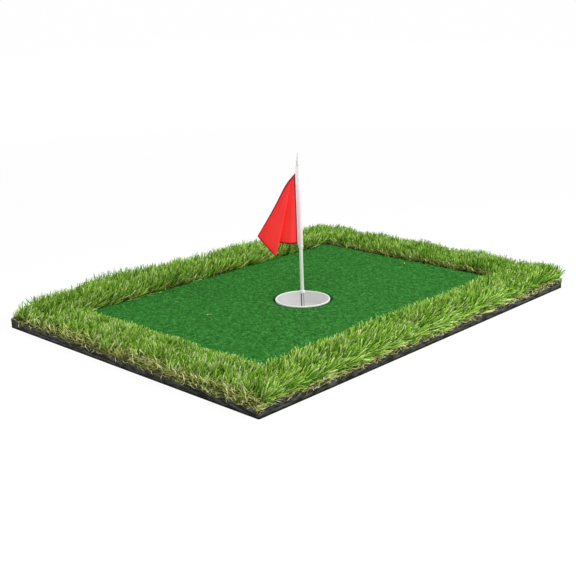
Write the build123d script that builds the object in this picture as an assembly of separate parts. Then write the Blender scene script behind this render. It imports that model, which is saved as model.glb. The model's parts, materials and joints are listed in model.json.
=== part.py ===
from build123d import *
import os
from math import radians, tan

# Practice putting green: a foam board on a rubber sheet, a border of long grass round a short putting
# surface, a cup let into the board, and a flagstick that stands in the cup. All sizes are in millimetres.
# The origin is on the floor under the middle of the mat, +X along its length and +Z up.

# Mat
MAT_LENGTH = 900.0
MAT_DEPTH = 670.0
MAT_CORNER_RADIUS = 3.0
SHEET_THICKNESS = 3.0
FOAM_THICKNESS = 12.0
TURF_BACKING_THICKNESS = 2.6
BORDER_WIDTH = 105.0
WINDOW_RADIUS = 16.0
INSERT_GAP = 0.4  # between the window's edge and the putting turf let into it

# Grass
PILE_INSET = 2.0  # the first row of tufts stands this far in from the backing's edge
PILE_CORNER_RADIUS = 6.0
THATCH_HEIGHT = 14.0
BLADE_HEIGHT = 14.0  # of the blades above the thatch
PILE_SHOULDER = 4.0  # rounding of the pile along its top edges
PUTTING_PILE_HEIGHT = 10.0

# Cup
CUP_X = -21.0
CUP_Y = -31.0
CUP_RIM_RADIUS = 54.0
CUP_LIP_WIDTH = 3.0
CUP_LIP_HEIGHT = 3.0
CUP_PROUD = 1.0  # the lip stands this far above the putting surface
CUP_WALL = 1.6
CUP_DRAFT_ANGLE = 3.5
CUP_FLOOR = 2.0
CUP_BORE_CLEARANCE = 0.5
CUP_PILE_CLEARANCE = 0.5
HUB_RADIUS = 8.0
HUB_DRAFT = 1.0  # the hub's foot is this much wider than its top
HUB_HEIGHT = 6.0  # above the cup's floor
HUB_ROUNDING = 0.8
GUSSET_COUNT = 4
GUSSET_THICKNESS = 1.6
GUSSET_REACH = 7.0
GUSSET_DROP = 1.0  # the gussets stop this far below the hub's top
SOCKET_RISE = 0.2  # the socket's floor stands this far above the cup's

# Flagstick
POLE_RADIUS = 3.5
POLE_BORE_RADIUS = 2.2
POLE_LENGTH = 254.0
PIN_EXPOSED = 34.0
PIN_SPIGOT_LENGTH = 25.0
PIN_CHAMFER = 0.8
PIN_SOCKET_CLEARANCE = 0.06
PLUG_CLEARANCE = 0.05  # between parts that are pushed together and glued
FERRULE_RADIUS = 5.1
FERRULE_HEIGHT = 6.0
FERRULE_WEB = 2.5
FERRULE_ROUNDING = 1.0
TIP_SKIRT_RADIUS = 4.3
TIP_SKIRT_HEIGHT = 12.5
TIP_SKIRT_ROUNDING = 0.7
TIP_SEAT_DEPTH = 6.5  # how far the pole goes up into the tip's skirt
TIP_SPIRE_HEIGHT = 14.5
TIP_SPIRE_FOOT_RADIUS = 2.75
TIP_SPIRE_END_RADIUS = 1.5
STICK_LEAN = 0.9  # degrees, towards the flag, in the looseness of its socket
FLAG_BEARING = 133.6  # degrees from +X, the way the flag hangs

# Flag and its sleeve
SLEEVE_LENGTH = 152.0
SLEEVE_WALL = 1.0
SLEEVE_CLEARANCE = 0.05
SLEEVE_END_PLAY = 0.5
SLEEVE_STOP_RADIUS = 4.9
SLEEVE_STOP_HEIGHT = 5.0
FIN_REACH = 6.2  # from the pole's axis
FIN_WIDTH = 3.2
FIN_ROUNDING = 0.48
FIN_SLOT_WIDTH = 1.0
FLAG_THICKNESS = 0.6
FLAG_TOP_MARGIN = 10.5  # bare sleeve above the cloth
FLAG_FOOT_MARGIN = 2.0  # and below it
FLAG_FLY_REACH = 84.0  # from the pole's axis out to the outermost corner
FLAG_FLY_RISE = 16.5  # of that corner above the hoist's foot
FLAG_TAIL_REACH = 48.0  # from the pole's axis out to the lowest corner
FLAG_TAIL_DROP = 20.5  # of that corner below the hoist's foot
FLAG_SHOULDER_REACH = 20.0
FLAG_SHOULDER_DROP = 15.0
FLAG_FOLD_WIDTH = 8.0  # of the pleat that hangs lowest, between the tail and the foot's inner stretch
FLAG_FOLD_RISE = 4.5
FLAG_WAVE = 5.0  # how far the hanging cloth swings out of its plane

# Heights and widths that follow
FOAM_TOP = SHEET_THICKNESS + FOAM_THICKNESS
BASE_TOP = FOAM_TOP + TURF_BACKING_THICKNESS
THATCH_TOP = BASE_TOP + THATCH_HEIGHT
ROUGH_TOP = THATCH_TOP + BLADE_HEIGHT
GREEN_TOP = BASE_TOP + PUTTING_PILE_HEIGHT
WINDOW_LENGTH = MAT_LENGTH - 2 * BORDER_WIDTH
WINDOW_DEPTH = MAT_DEPTH - 2 * BORDER_WIDTH
CUP_TOP = GREEN_TOP + CUP_PROUD
CUP_HEIGHT = CUP_TOP - SHEET_THICKNESS
CUP_MOUTH_RADIUS = CUP_RIM_RADIUS - CUP_LIP_WIDTH
CUP_BODY_RADIUS = CUP_MOUTH_RADIUS + CUP_WALL
CUP_TAPER = (CUP_HEIGHT - CUP_LIP_HEIGHT) * tan(radians(CUP_DRAFT_ANGLE))
CUP_BORE_RADIUS = CUP_BODY_RADIUS + CUP_BORE_CLEARANCE
SOCKET_FLOOR = SHEET_THICKNESS + CUP_FLOOR + SOCKET_RISE
SLEEVE_BORE_RADIUS = POLE_RADIUS + SLEEVE_CLEARANCE
SLEEVE_RADIUS = SLEEVE_BORE_RADIUS + SLEEVE_WALL

# Heights along the flagstick, from the foot of its pin
POLE_FOOT = PIN_EXPOSED + FERRULE_WEB
POLE_TOP = POLE_FOOT + POLE_LENGTH
TIP_FOOT = POLE_TOP - TIP_SEAT_DEPTH
SLEEVE_TOP = TIP_FOOT - SLEEVE_END_PLAY
SLEEVE_FOOT = SLEEVE_TOP - SLEEVE_LENGTH
FLAG_TOP = SLEEVE_TOP - FLAG_TOP_MARGIN
FLAG_FOOT = SLEEVE_FOOT + FLAG_FOOT_MARGIN

ROUND_SHARE = 0.45  # of a lip or a narrow end that is rounded on both sides, for each rounding

CUP = Pos(CUP_X, CUP_Y, 0)
STICK = Pos(CUP_X, CUP_Y, SOCKET_FLOOR) * Rot(0, 0, FLAG_BEARING) * Rot(0, STICK_LEAN, 0)


def slab(outline, bottom, top):
    """A flat layer with the given outline between two heights."""
    return Pos(0, 0, bottom) * extrude(outline, top - bottom)


def cylinder(radius, bottom, top):
    return slab(Circle(radius), bottom, top)


def turned(points, radii):
    """A solid turned about Z from its half section; each corner of the section has its own rounding."""
    section = FilletPolyline(*points, radius=radii, close=True)
    return revolve(Plane.XZ * make_face(section), Axis.Z)


def window(shrink=0.0):
    """The window in the rough turf, made smaller all round by the given amount."""
    return RectangleRounded(
        WINDOW_LENGTH - 2 * shrink, WINDOW_DEPTH - 2 * shrink, WINDOW_RADIUS - shrink
    )


def mat_outline():
    return RectangleRounded(MAT_LENGTH, MAT_DEPTH, MAT_CORNER_RADIUS)


def pile_outline():
    return RectangleRounded(
        MAT_LENGTH - 2 * PILE_INSET, MAT_DEPTH - 2 * PILE_INSET, PILE_CORNER_RADIUS
    )


def cup_bore(radius):
    """A tool that bores through every layer of the mat where the cup stands."""
    return CUP * cylinder(radius, 0, ROUGH_TOP)


# Mat layers

def bottom_sheet():
    return slab(mat_outline(), 0, SHEET_THICKNESS)


def foam_core():
    return slab(mat_outline(), SHEET_THICKNESS, FOAM_TOP) - cup_bore(CUP_BORE_RADIUS)


def rough_backing():
    return slab(mat_outline() - window(), FOAM_TOP, BASE_TOP)


def green_backing():
    return slab(window(INSERT_GAP), FOAM_TOP, BASE_TOP) - cup_bore(CUP_BORE_RADIUS)


def green_pile():
    return slab(window(INSERT_GAP), BASE_TOP, GREEN_TOP) - cup_bore(
        CUP_RIM_RADIUS + CUP_PILE_CLEARANCE
    )


# Border grass: a ring, cut at its mitres into four sides

def side_regions():
    """For each side, the part of the plan that belongs to it, bounded by the mitre lines."""
    x, y = MAT_LENGTH / 2, MAT_DEPTH / 2
    ridge = x - y
    front = make_face(Polyline((-x, -y), (x, -y), (ridge, 0), (-ridge, 0), close=True))
    right = make_face(Polyline((x, -y), (x, y), (ridge, 0), close=True))
    return {
        "front": front,
        "back": mirror(front, Plane.XZ),
        "right": right,
        "left": mirror(right, Plane.YZ),
    }


def border_sides(bottom, top, shoulder):
    ring = slab(pile_outline() - window(), bottom, top)
    if shoulder > 0:
        ring = fillet(ring.faces().sort_by(Axis.Z)[-1].edges(), shoulder)
    return {
        side: ring & slab(region, bottom, top) for side, region in side_regions().items()
    }


# Cup

def cup_liner():
    """Tapered cup with a rolled lip, and in its floor a gusseted hub bored for the flagstick's pin."""
    height, floor, mouth = CUP_HEIGHT, CUP_FLOOR, CUP_MOUTH_RADIUS
    under_lip = height - CUP_LIP_HEIGHT
    foot_outer = CUP_BODY_RADIUS - CUP_TAPER
    foot_inner = mouth - CUP_TAPER
    lip_round = ROUND_SHARE * CUP_LIP_WIDTH
    under_round = ROUND_SHARE * (CUP_LIP_WIDTH - CUP_WALL)
    shell = turned(
        [
            (0, 0), (foot_outer, 0), (CUP_BODY_RADIUS, under_lip), (CUP_RIM_RADIUS, under_lip),
            (CUP_RIM_RADIUS, height), (mouth, height), (foot_inner, floor), (0, floor),
        ],
        [0, CUP_WALL, 0, under_round, lip_round, lip_round, 2 * CUP_WALL, 0],
    )
    sunk = floor / 2
    hub_foot = HUB_RADIUS + HUB_DRAFT
    hub_top = floor + HUB_HEIGHT
    hub = turned(
        [(0, sunk), (hub_foot, sunk), (hub_foot, floor), (HUB_RADIUS, hub_top), (0, hub_top)],
        [0, 0, 0, HUB_ROUNDING, 0],
    )
    reach = hub_foot + GUSSET_REACH
    web_top = hub_top - GUSSET_DROP
    gusset = make_face(
        Polyline((0, sunk), (reach, sunk), (reach, floor), (HUB_RADIUS - HUB_DRAFT, web_top),
                 (0, web_top), close=True)
    )
    web = extrude(Plane.XZ * gusset, GUSSET_THICKNESS / 2, both=True)
    liner = shell + hub
    for turn in range(GUSSET_COUNT):
        liner += Rot(0, 0, 360 / GUSSET_COUNT * (turn + 0.5)) * web
    socket = STICK * cylinder(POLE_RADIUS + PIN_SOCKET_CLEARANCE, 0, PIN_EXPOSED)
    return Pos(CUP_X, CUP_Y, SHEET_THICKNESS) * liner - socket


# Flagstick, each piece made along its own axis and then stood in the socket

def pole_pin():
    spigot = POLE_BORE_RADIUS - PLUG_CLEARANCE
    top = PIN_EXPOSED + PIN_SPIGOT_LENGTH
    pin = cylinder(POLE_RADIUS, 0, PIN_EXPOSED) + cylinder(spigot, PIN_EXPOSED, top)
    ends = pin.edges().filter_by(GeomType.CIRCLE).sort_by(Axis.Z)
    return chamfer([ends[0], ends[-1]], PIN_CHAMFER)


def pole_ferrule():
    """Collar that the tube's foot sits in; the pin's spigot passes up through its web."""
    spigot_hole = POLE_BORE_RADIUS
    seat = POLE_RADIUS + PLUG_CLEARANCE
    foot, top = PIN_EXPOSED, PIN_EXPOSED + FERRULE_HEIGHT
    return turned(
        [(spigot_hole, foot), (FERRULE_RADIUS, foot), (FERRULE_RADIUS, top), (seat, top),
         (seat, foot + FERRULE_WEB), (spigot_hole, foot + FERRULE_WEB)],
        [0, FERRULE_ROUNDING, FERRULE_ROUNDING, 0, 0, 0],
    )


def pole_tube():
    return cylinder(POLE_RADIUS, POLE_FOOT, POLE_TOP) - cylinder(POLE_BORE_RADIUS, POLE_FOOT, POLE_TOP)


def pole_tip():
    """Stepped cap: a skirt over the tube, then a slim spire."""
    seat = POLE_RADIUS + PLUG_CLEARANCE
    skirt_top = TIP_FOOT + TIP_SKIRT_HEIGHT
    return turned(
        [(seat, TIP_FOOT), (TIP_SKIRT_RADIUS, TIP_FOOT), (TIP_SKIRT_RADIUS, skirt_top),
         (TIP_SPIRE_FOOT_RADIUS, skirt_top), (TIP_SPIRE_END_RADIUS, skirt_top + TIP_SPIRE_HEIGHT),
         (0, skirt_top + TIP_SPIRE_HEIGHT), (0, POLE_TOP), (seat, POLE_TOP)],
        [0, 0, TIP_SKIRT_ROUNDING, 0, ROUND_SHARE * TIP_SPIRE_END_RADIUS, 0, 0, 0],
    )


def sleeve_stop():
    bore = POLE_RADIUS + PLUG_CLEARANCE
    top = SLEEVE_FOOT - SLEEVE_END_PLAY
    foot = top - SLEEVE_STOP_HEIGHT
    rounding = 2 * ROUND_SHARE * (SLEEVE_STOP_RADIUS - bore)
    return turned(
        [(bore, foot), (SLEEVE_STOP_RADIUS, foot), (SLEEVE_STOP_RADIUS, top), (bore, top)],
        [0, rounding, rounding, 0],
    )


# Flag, turning on the pole

def flag_sleeve():
    """Extruded tube with a slotted fin along one side; the fin's two lips hold the cloth."""
    fin = Pos(FIN_REACH / 2, 0) * Rectangle(FIN_REACH, FIN_WIDTH)
    fin = fillet(fin.vertices().group_by(Axis.X)[-1], FIN_ROUNDING)
    slot_foot = SLEEVE_RADIUS - SLEEVE_WALL / 3
    slot = Pos((slot_foot + FIN_REACH) / 2, 0) * Rectangle(FIN_REACH - slot_foot, FIN_SLOT_WIDTH)
    section = Circle(SLEEVE_RADIUS) + fin - slot - Circle(SLEEVE_BORE_RADIUS)
    return slab(section, SLEEVE_FOOT, SLEEVE_TOP)


def flag():
    """Limp cloth: a gently waving sheet, trimmed to the outline in which it hangs."""
    hoist = SLEEVE_RADIUS
    outline = make_face(
        Polyline(
            (hoist, FLAG_TOP),
            (FLAG_SHOULDER_REACH, FLAG_TOP - FLAG_SHOULDER_DROP),
            (FLAG_FLY_REACH, FLAG_FOOT + FLAG_FLY_RISE),
            (FLAG_TAIL_REACH, FLAG_FOOT - FLAG_TAIL_DROP),
            (FLAG_TAIL_REACH - FLAG_FOLD_WIDTH, FLAG_FOOT + FLAG_FOLD_RISE),
            (FLAG_SHOULDER_REACH, FLAG_FOOT + FLAG_FOLD_RISE),
            (hoist, FLAG_FOOT),
            close=True,
        )
    )
    trim = extrude(Plane.XZ * outline, 4 * FLAG_WAVE, both=True)
    swing = FLAG_FLY_REACH / 4
    wave = Spline(
        [
            (hoist, 0), (FIN_REACH, 0), (1.6 * swing, FLAG_WAVE), (3 * swing, -FLAG_WAVE),
            (4 * swing + FLAG_THICKNESS, 0),
        ]
    )
    cloth = slab(trace(wave, FLAG_THICKNESS), FLAG_FOOT - FLAG_TAIL_DROP, FLAG_TOP)
    return cloth & trim


def mat_nodes():
    nodes = {
        "bottom_sheet": bottom_sheet(),
        "foam_core": foam_core(),
        "rough_backing": rough_backing(),
        "green_backing": green_backing(),
        "green_pile": green_pile(),
    }
    for side, solid in border_sides(BASE_TOP, THATCH_TOP, 0).items():
        nodes[f"thatch_{side}"] = solid
    for side, solid in border_sides(THATCH_TOP, ROUGH_TOP, PILE_SHOULDER).items():
        nodes[f"rough_pile_{side}"] = solid
    return nodes


def stick_nodes():
    pieces = [
        pole_pin, pole_ferrule, pole_tube, pole_tip, sleeve_stop, flag_sleeve, flag
    ]
    return {piece.__name__: STICK * piece() for piece in pieces}


os.makedirs("parts", exist_ok=True)
for name, solid in (mat_nodes() | {"cup_liner": cup_liner()} | stick_nodes()).items():
    export_step(solid, f"parts/{name}.step")
    print(f"{name}: {solid.volume:.0f} mm3")
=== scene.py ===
import json
import math

import bmesh
import bpy
import numpy as np
from mathutils import Matrix, Vector


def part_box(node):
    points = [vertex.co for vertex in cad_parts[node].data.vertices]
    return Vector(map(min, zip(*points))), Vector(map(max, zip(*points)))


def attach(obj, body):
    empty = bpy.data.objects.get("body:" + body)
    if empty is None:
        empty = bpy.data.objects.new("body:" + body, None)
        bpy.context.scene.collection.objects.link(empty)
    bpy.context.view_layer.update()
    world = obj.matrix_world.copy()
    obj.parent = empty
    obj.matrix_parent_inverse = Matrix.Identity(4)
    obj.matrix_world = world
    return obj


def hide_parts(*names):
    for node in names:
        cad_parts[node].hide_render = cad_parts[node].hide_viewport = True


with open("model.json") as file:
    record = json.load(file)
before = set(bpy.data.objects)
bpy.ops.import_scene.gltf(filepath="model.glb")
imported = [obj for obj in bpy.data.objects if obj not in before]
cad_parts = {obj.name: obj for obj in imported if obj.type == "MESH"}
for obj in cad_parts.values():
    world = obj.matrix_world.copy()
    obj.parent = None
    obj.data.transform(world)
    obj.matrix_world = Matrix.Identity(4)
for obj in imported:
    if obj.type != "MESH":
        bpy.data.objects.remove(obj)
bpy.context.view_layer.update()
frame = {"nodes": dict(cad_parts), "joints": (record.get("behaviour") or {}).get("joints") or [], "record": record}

# A practice green: a foam board, a border of long grass round a putting surface, a cup and a flagstick.
# +X is to the right, -Y to the front and +Z up. Values for the four sides go front, right, back, left.

MM = 0.001
SIDES = ("front", "right", "back", "left")
FRONT, RIGHT, BACK, LEFT = range(4)

# Places taken from the frame, in metres

half_length, half_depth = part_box("foam_core")[1].xy
backing_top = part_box("rough_backing")[1].z
green_lo, green_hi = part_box("green_pile")
window_x, window_y = -green_lo.x, green_hi.y
border_width = half_depth - window_y
cup_lo, cup_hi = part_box("cup_liner")
cup_middle = (cup_lo + cup_hi) / 2
cup_radius = (cup_hi.x - cup_lo.x) / 2
flag_lo, flag_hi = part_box("flag")
flag_middle = (flag_lo + flag_hi) / 2
sleeve_lo, sleeve_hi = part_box("flag_sleeve")
swivel = next(joint for joint in frame["joints"] if joint["name"] == "flag_swivel")
stick_foot = Vector(swivel["pos_m"])
stick_up = Vector(swivel["axis"])


# ---------------------------------------------------------------- shader wiring

def grey(value, tint=0.0):
    return (value, value, value + tint)


class Wire:
    """A shader socket in an expression: each operator adds its Math node."""

    def __init__(self, wiring, socket):
        self.wiring = wiring
        self.socket = socket

    def math(self, operation, *others):
        return self.wiring.node("ShaderNodeMath", {"operation": operation}, [self, *others])

    def __add__(self, other):
        return self.math("ADD", other)

    def __sub__(self, other):
        return self.math("SUBTRACT", other)

    def __rsub__(self, other):
        return self.math("MULTIPLY", -1) + other

    def __mul__(self, other):
        return self.math("MULTIPLY", other)

    def __truediv__(self, other):
        return self.math("DIVIDE", other)

    def __rtruediv__(self, other):
        return self.math("POWER", -1) * other

    __radd__ = __add__
    __rmul__ = __mul__


class Wiring:
    """A node tree under construction: all its new nodes come from the node method."""

    def __init__(self, tree):
        self.tree = tree

    def node(self, kind, settings=None, inputs=(), output=0):
        """Adds a node: first its settings (a ramp's are its stops), then its values and links."""
        made = self.tree.nodes.new(kind)
        for key, value in (settings or {}).items():
            if key == "stops":
                self.set_stops(made.color_ramp, value)
            else:
                setattr(made, key, value)
        pairs = inputs.items() if isinstance(inputs, dict) else enumerate(inputs)
        for key, value in pairs:
            self.feed(made.inputs[key], value)
        return Wire(self, made.outputs[output])

    def set_stops(self, ramp, stops):
        while len(ramp.elements) < len(stops):
            ramp.elements.new(0.5)
        for element, (place, colour) in zip(ramp.elements, stops):
            element.position = place
            element.color = (*colour, 1)

    def feed(self, socket, value):
        """Links a wire or sets a constant; a colour is given as its red, green and blue."""
        if isinstance(value, Wire):
            self.tree.links.new(value.socket, socket)
        else:
            socket.default_value = (*value, 1) if socket.type == "RGBA" else value

    def seen_directly(self):
        """1 for what the camera sees, straight or in a gloss or a clear wall, and 0 for other light."""
        seen = self.node("ShaderNodeLightPath", output="Is Camera Ray")
        for kind in ("Is Glossy Ray", "Is Transmission Ray"):
            seen = seen.math("MAXIMUM", self.node("ShaderNodeLightPath", output=kind))
        return seen


class Finish(Wiring):
    """A material under construction, round one Principled shader with its constant values set."""

    def __init__(self, name, **constants):
        self.material = bpy.data.materials.new(name)
        self.material.use_nodes = True
        super().__init__(self.material.node_tree)
        self.shader = self.tree.nodes["Principled BSDF"]
        self.set(**constants)

    def set(self, **inputs):
        for name, value in inputs.items():
            self.feed(self.shader.inputs[name.replace("_", " ")], value)
        return self

    def place(self, scale=(1, 1, 1)):
        """Object coordinates, stretched by the given scale."""
        where = self.node("ShaderNodeTexCoord", output="Object")
        return self.node("ShaderNodeMapping", None, {"Vector": where, "Scale": scale})

    def own_map(self, name):
        return self.node("ShaderNodeUVMap", {"uv_map": name})

    def component(self, vector, axis):
        return self.node("ShaderNodeSeparateXYZ", None, [vector], output=axis)

    def length_of(self, vector):
        return self.node("ShaderNodeVectorMath", {"operation": "LENGTH"}, [vector], output="Value")

    def noise(self, scale, detail=2.0, where=None, roughness=0.5, distortion=0.0):
        values = {
            "Vector": where or self.place(),
            "Scale": scale,
            "Detail": detail,
            "Roughness": roughness,
            "Distortion": distortion,
        }
        return self.node("ShaderNodeTexNoise", None, values, output="Fac")

    def wave(self, direction, where, scale):
        values = {"Vector": where, "Scale": scale}
        return self.node("ShaderNodeTexWave", {"bands_direction": direction}, values, output="Fac")

    def ramp(self, value, stops):
        return self.node("ShaderNodeValToRGB", {"stops": stops}, [value])

    def blend(self, amount, first, second, how="MIX"):
        """Two colours in a Mix node, whose colour sockets are numbers 6 and 7."""
        mixed = {"Factor": amount, 6: first, 7: second}
        return self.node("ShaderNodeMix", {"data_type": "RGBA", "blend_type": how}, mixed, output=2)

    def bump(self, height, strength, depth):
        values = {"Height": height, "Strength": strength, "Distance": depth}
        return self.node("ShaderNodeBump", None, values)


# ---------------------------------------------------------------- finishes

ON, OFF = (1, 1, 1), (0, 0, 0)
CUP_CLEARANCE = 1.8 * MM
PRESSED_RING = 5.6 * MM
# heights over which the cup's lip is painted light and its floor painted shade
LIP_DEPTH = 1.7 * MM
FLOOR_SHADE_HEIGHT = 7 * MM
# widths of the dark painted reflections down the pin's sides, and down its front and back
SIDE_REFLECTION_LINE_WIDTH = 4.4 * MM
FRONT_REFLECTION_LINE_WIDTH = 3 * MM
HEM_REACH = 12 * MM


def sheet_rubber():
    finish = Finish("sheet_rubber", Specular_IOR_Level=0.08)
    grain = finish.noise(900, 3)
    cloud = finish.noise(14)
    return finish.set(
        Base_Color=finish.ramp(cloud, [(0.3, grey(0.006)), (0.7, grey(0.012))]),
        Roughness=0.7 + grain * 0.2,
        Normal=finish.bump(grain, 0.5, 0.6 * MM),
    ).material


def foam_board():
    """Black closed-cell foam, with the level marks of the saw on its cut edges."""
    finish = Finish("foam_board", Specular_IOR_Level=0.1)
    cells = finish.node(
        "ShaderNodeTexVoronoi", None, {"Vector": finish.place(), "Scale": 700.0}, output="Distance"
    )
    cloud = finish.noise(30, 4)
    saw = finish.noise(48, 4, finish.place((1, 1, 6)))
    skin = finish.ramp(cloud, [(0.3, grey(0.011, -0.002)), (0.75, grey(0.028, -0.004))])
    kerf = finish.ramp(saw, [(0.42, grey(0.001)), (0.64, grey(0.13, -0.014))])
    return finish.set(
        Base_Color=finish.blend(0.6, skin, kerf),
        Roughness=0.5 + cloud * 0.35,
        Normal=finish.bump(cells + saw * 1.5, 0.6, 0.9 * MM),
    ).material


def turf_backing():
    finish = Finish("turf_backing", Specular_IOR_Level=0.2)
    weave = finish.wave("DIAGONAL", finish.place(), 260.0)
    grain = finish.noise(500, 3)
    return finish.set(
        Base_Color=finish.ramp(grain, [(0.3, (0.03, 0.034, 0.012)), (0.7, (0.085, 0.085, 0.04))]),
        Roughness=0.75 + grain * 0.2,
        Normal=finish.bump(weave + grain, 0.6, 0.6 * MM),
    ).material


def yarn(name, root, tones, roughness, painted_shade_height):
    """Extruded yarn: u of its own map picks the strand's tone, and v runs from root to tip; the lower part is
    darkened towards the root colour as painted shade.
    """
    finish = Finish(name, Specular_IOR_Level=0.1)
    strand = finish.own_map("strand")
    streak = finish.noise(700, 2, finish.place((1, 1, 0.15)))
    tone = finish.ramp(finish.component(strand, "X"), tones)
    tone = finish.blend(streak * 0.3, tone, (0.4, 0.55, 0.16), "SOFT_LIGHT")
    # Painted shade between the strands: each strand's colour runs from the dark root colour low down up to its own
    # tone at the given shade height.
    lit = finish.ramp(finish.component(strand, "Y"), [(0.3 * painted_shade_height, OFF), (painted_shade_height, ON)])
    return finish.set(
        Base_Color=finish.blend(lit, root, tone),
        Roughness=roughness + streak * 0.25,
    ).material


def grass_blades():
    tones = [
        (0.0, (0.035, 0.13, 0.004)),
        (0.3, (0.145, 0.37, 0.014)),
        (0.55, (0.33, 0.585, 0.055)),
        (0.8, (0.51, 0.75, 0.18)),
        (1.0, (0.77, 0.89, 0.43)),
    ]
    return yarn("grass_blades", (0.024, 0.05, 0.003), tones, roughness=0.45, painted_shade_height=0.95)


def root_yarn():
    tones = [
        (0.0, (0.06, 0.09, 0.012)),
        (0.25, (0.17, 0.25, 0.035)),
        (0.45, (0.39, 0.4, 0.1)),
        (0.7, (0.66, 0.67, 0.27)),
        (1.0, (0.86, 0.89, 0.6)),
    ]
    return yarn("root_yarn", (0.2, 0.18, 0.05), tones, roughness=0.5, painted_shade_height=0.2)


def putting_yarn():
    """Short curled yarn, pressed down round the cup's rim, where a painted shadow darkens it."""
    finish = Finish("putting_yarn", Specular_IOR_Level=0.06)
    curl = finish.noise(140, 3, roughness=0.6, distortion=0.9)
    clump = finish.noise(60, 3)
    drift = finish.noise(6)
    tone = finish.ramp(
        curl,
        [(0.36, (0.01, 0.076, 0.009)), (0.5, (0.023, 0.146, 0.019)), (0.64, (0.06, 0.275, 0.05))],
    )
    clumps = finish.ramp(clump, [(0.3, (0.018, 0.13, 0.014)), (0.7, (0.045, 0.24, 0.036))])
    tone = finish.blend(0.12, tone, clumps)
    tone = finish.blend(drift * 0.2, tone, (0.027, 0.17, 0.022))
    out = finish.node("ShaderNodeVectorMath", {"operation": "SUBTRACT"}, [finish.place(), cup_middle])
    level = finish.node("ShaderNodeVectorMath", {"operation": "MULTIPLY"}, [out, (1, 1, 0)])
    from_hole = finish.length_of(level) - (cup_radius + CUP_CLEARANCE)
    # Painted shadow: the pressed ring round the cup's rim is painted nearly black, for the shade in the gap at the
    # rim.
    pressed = finish.ramp(from_hole / PRESSED_RING, [(0.3, ON), (1.0, OFF)])
    return finish.set(
        Base_Color=finish.blend(pressed * 0.9, tone, (0.002, 0.016, 0.002)),
        Roughness=0.7 + curl * 0.3,
        Normal=finish.bump(curl + clump * 0.2, 1.0, 5 * MM),
    ).material


def plastic_skin(finish, dark, light, roughness):
    """Faint orange peel and clouding; gives the clouded tone."""
    cloud = finish.noise(60, 3)
    orange_peel = finish.noise(1400)
    finish.set(Roughness=roughness + cloud * 0.12, Normal=finish.bump(orange_peel, 0.25, 0.1 * MM))
    return finish.ramp(cloud, [(0.3, dark), (0.7, light)])


def cap_plastic():
    finish = Finish("cap_plastic")
    return finish.set(Base_Color=plastic_skin(finish, grey(0.8), grey(0.88), 0.35)).material


def cup_plastic():
    """Pale plastic with painted light: the walls glow a little with a greenish painted light, the lip is painted
    whiter as painted light from above, and the floor greyer as painted shade.
    """
    finish = Finish("cup_plastic", Emission_Strength=0.32)
    walls = plastic_skin(finish, grey(0.25), grey(0.29), 0.35)
    height = finish.component(finish.place(), "Z")
    # Painted light and shade: the lip is painted whiter, the floor darker towards the bottom, and the walls glow
    # greenish.
    lip_painted_light = finish.ramp((height - (cup_hi.z - LIP_DEPTH)) / LIP_DEPTH, [(0.2, OFF), (0.5, ON)])
    above_floor_shade = finish.ramp((height - cup_lo.z) / FLOOR_SHADE_HEIGHT, [(0.4, OFF), (1.0, ON)])
    walls_over_floor_shade = finish.blend(above_floor_shade, grey(0.17), walls)
    return finish.set(
        Base_Color=finish.blend(lip_painted_light, walls_over_floor_shade, (0.64, 0.7, 0.62)),
        Emission_Color=finish.blend(lip_painted_light, (1.0, 0.99, 0.97), (0.3, 0.36, 0.29)),
    ).material


def pin_metal():
    """A metal pin, lined by dark painted reflections left and right and by narrower ones front and back, and
    glowing a little with painted light.
    """
    finish = Finish("pin_metal", Metallic=0.3, Emission_Strength=0.26)
    marks = finish.noise(700, 3, finish.place((1, 1, 8)))
    place = finish.place()
    height = finish.component(place, "Z")
    metal = finish.ramp(marks, [(0.3, grey(0.86)), (0.7, grey(0.95))])
    # dark lines down the pin's sides, front and back: painted reflections
    for way, foot, rise, width in (
        ("Y", stick_foot.y, stick_up.y, SIDE_REFLECTION_LINE_WIDTH),
        ("X", stick_foot.x, stick_up.x, FRONT_REFLECTION_LINE_WIDTH),
    ):
        axis = (height - stick_foot.z) * (rise / stick_up.z) + foot
        off = (finish.component(place, way) - axis).math("ABSOLUTE") / width
        line = finish.ramp(off, [(0.4, ON), (0.6, OFF)])
        metal = finish.blend(line, metal, grey(0.12))
    return finish.set(Base_Color=metal, Emission_Color=metal, Roughness=0.3 + marks * 0.15).material


def pole_plastic():
    """White plastic with a little painted light in it: a pink painted reflection of the flag beside the sleeve,
    and green painted bounce light from the grass below.
    """
    finish = Finish("pole_plastic", Emission_Strength=0.38)
    skin = plastic_skin(finish, grey(0.58), grey(0.64), 0.28)
    height = finish.component(finish.place(), "Z")
    # the glow's colour is painted light reflected off the flag and the grass
    painted_bounce_light = finish.ramp(
        (height - sleeve_lo.z) / (sleeve_hi.z - sleeve_lo.z),
        [
            (0.0, (0.3, 0.43, 0.26)),
            (0.08, (0.72, 0.3, 0.4)),
            (0.6, (0.78, 0.4, 0.5)),
            (0.95, (0.95, 0.84, 0.87)),
        ],
    )
    return finish.set(Base_Color=skin, Emission_Color=painted_bounce_light).material


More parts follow.
